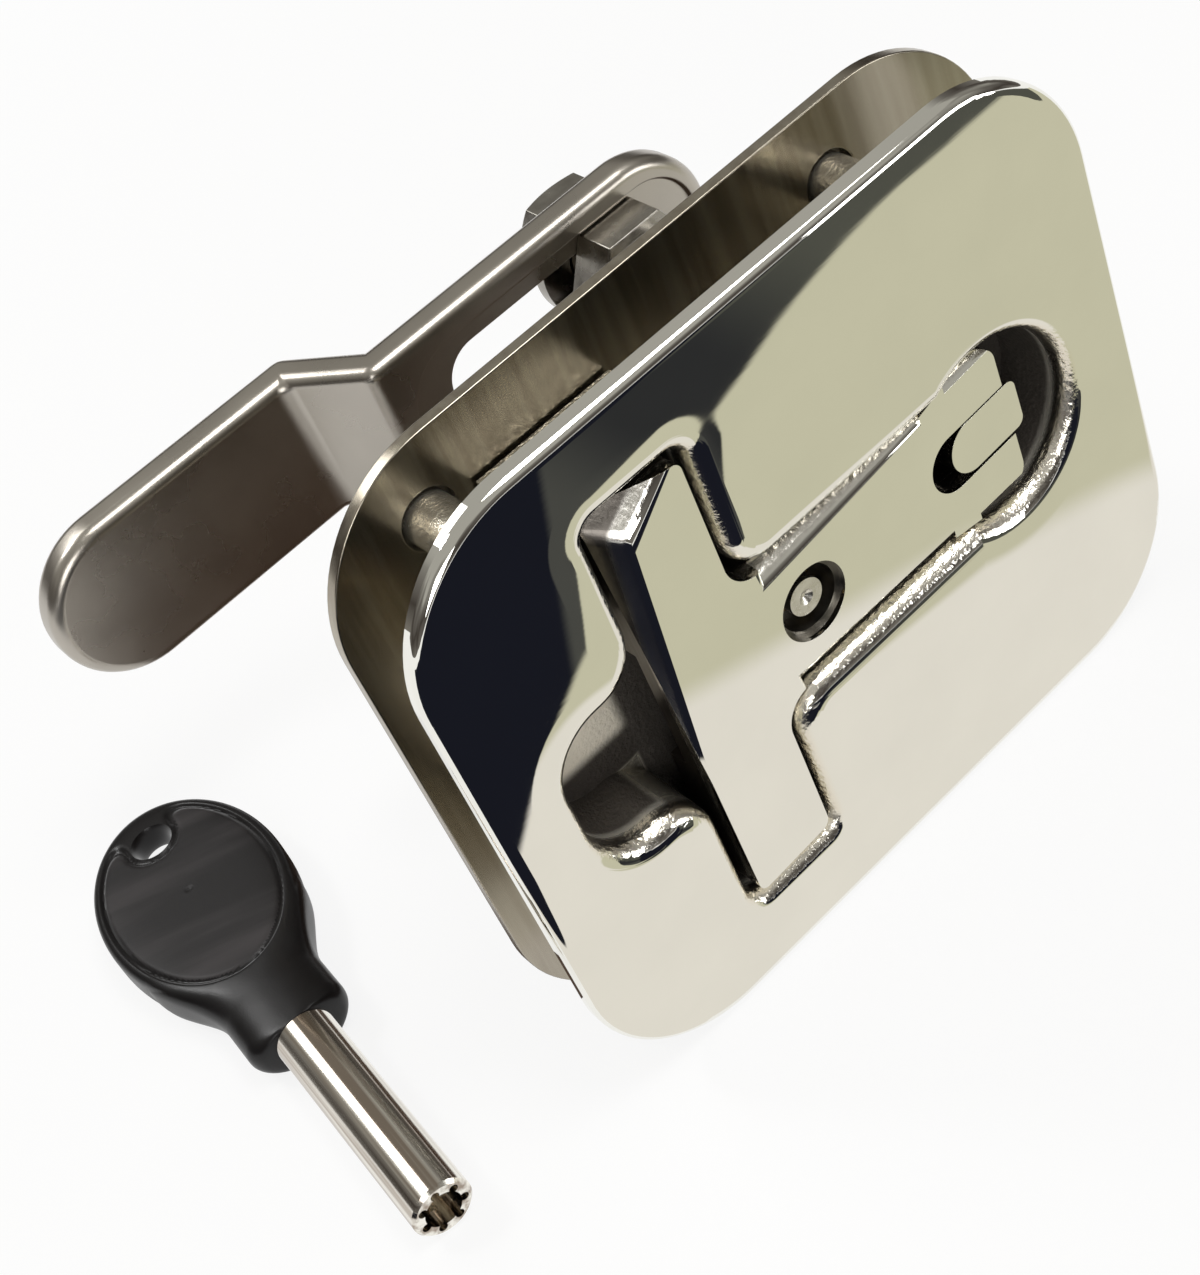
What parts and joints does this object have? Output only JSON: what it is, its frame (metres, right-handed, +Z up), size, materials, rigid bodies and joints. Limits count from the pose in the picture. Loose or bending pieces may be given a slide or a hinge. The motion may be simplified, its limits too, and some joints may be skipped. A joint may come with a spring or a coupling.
{
  "type": "flush twist catch",
  "caption": "Flush plate catch: folding T handle in a cast pocket with finger scoop, keyed lock, rear clamp plate on posts, long spindle and slotted, stepped cam arm; loose tubular key.",
  "frame": {"origin": "centre of the front plate on the plane where it seats on the door skin", "axes": "+X along the handle towards its pivot, +Y into the door, +Z up; the face of the plate looks along -Y"},
  "size_m": [0.1601, 0.1104, 0.106],
  "materials": {
    "polished_cast": "mirror polished cast stainless, pocket walls as cast",
    "satin_plate": "brushed stainless plate",
    "satin_cast": "tumbled cast stainless, satin",
    "fastener": "bright stainless",
    "bronze": "machined",
    "black_plastic": "moulded, slight sheen",
    "key_metal": "bright nickel"
  },
  "bodies": {
    "housing": {"front_plate": "polished_cast", "backing_plate": "satin_plate", "plate_screws": "fastener", "plate_washers": "fastener", "pivot_head": "polished_cast", "hinge_pin": "fastener", "spindle_bush": "bronze", "lock_keeper": "fastener", "keeper_screws": "fastener"},
    "handle_body": {"handle": "polished_cast", "lock_shell": "fastener", "lock_nut": "bronze"},
    "lock_core": {"lock_rotor": "fastener", "lock_pins": "bronze", "lock_pawl": "fastener", "pawl_screw": "fastener"},
    "cam": {"spindle": "satin_cast", "thrust_washer": "fastener", "wave_washer": "fastener", "spindle_clip": "fastener", "hex_shoulder": "fastener", "cam_arm": "satin_cast", "cam_washer": "fastener", "cam_bolt": "fastener"},
    "key": {"key_bow": "black_plastic", "key_shank": "key_metal"}
  },
  "joints": [
    {"name": "handle_fold", "type": "hinge", "parent": "housing", "child": "handle_body", "pos_m": [0.03, 0.0026, 0], "axis": [0, 0, 1], "range_deg": [0, 90]},
    {"name": "lock_turn", "type": "hinge", "parent": "handle_body", "child": "lock_core", "pos_m": [-0.0045, 0, 0], "axis": [0, -1, 0], "range_deg": [0, 90]},
    {"name": "cam_twist", "type": "hinge", "parent": "housing", "child": "cam", "pos_m": [0.0327, 0, 0], "axis": [0, 1, 0], "range_deg": [0, 90]},
    {"name": "key_lift", "type": "slide", "parent": "housing", "child": "key", "axis": [0, 0, 1], "range_m": [0, 0.022]}
  ]
}
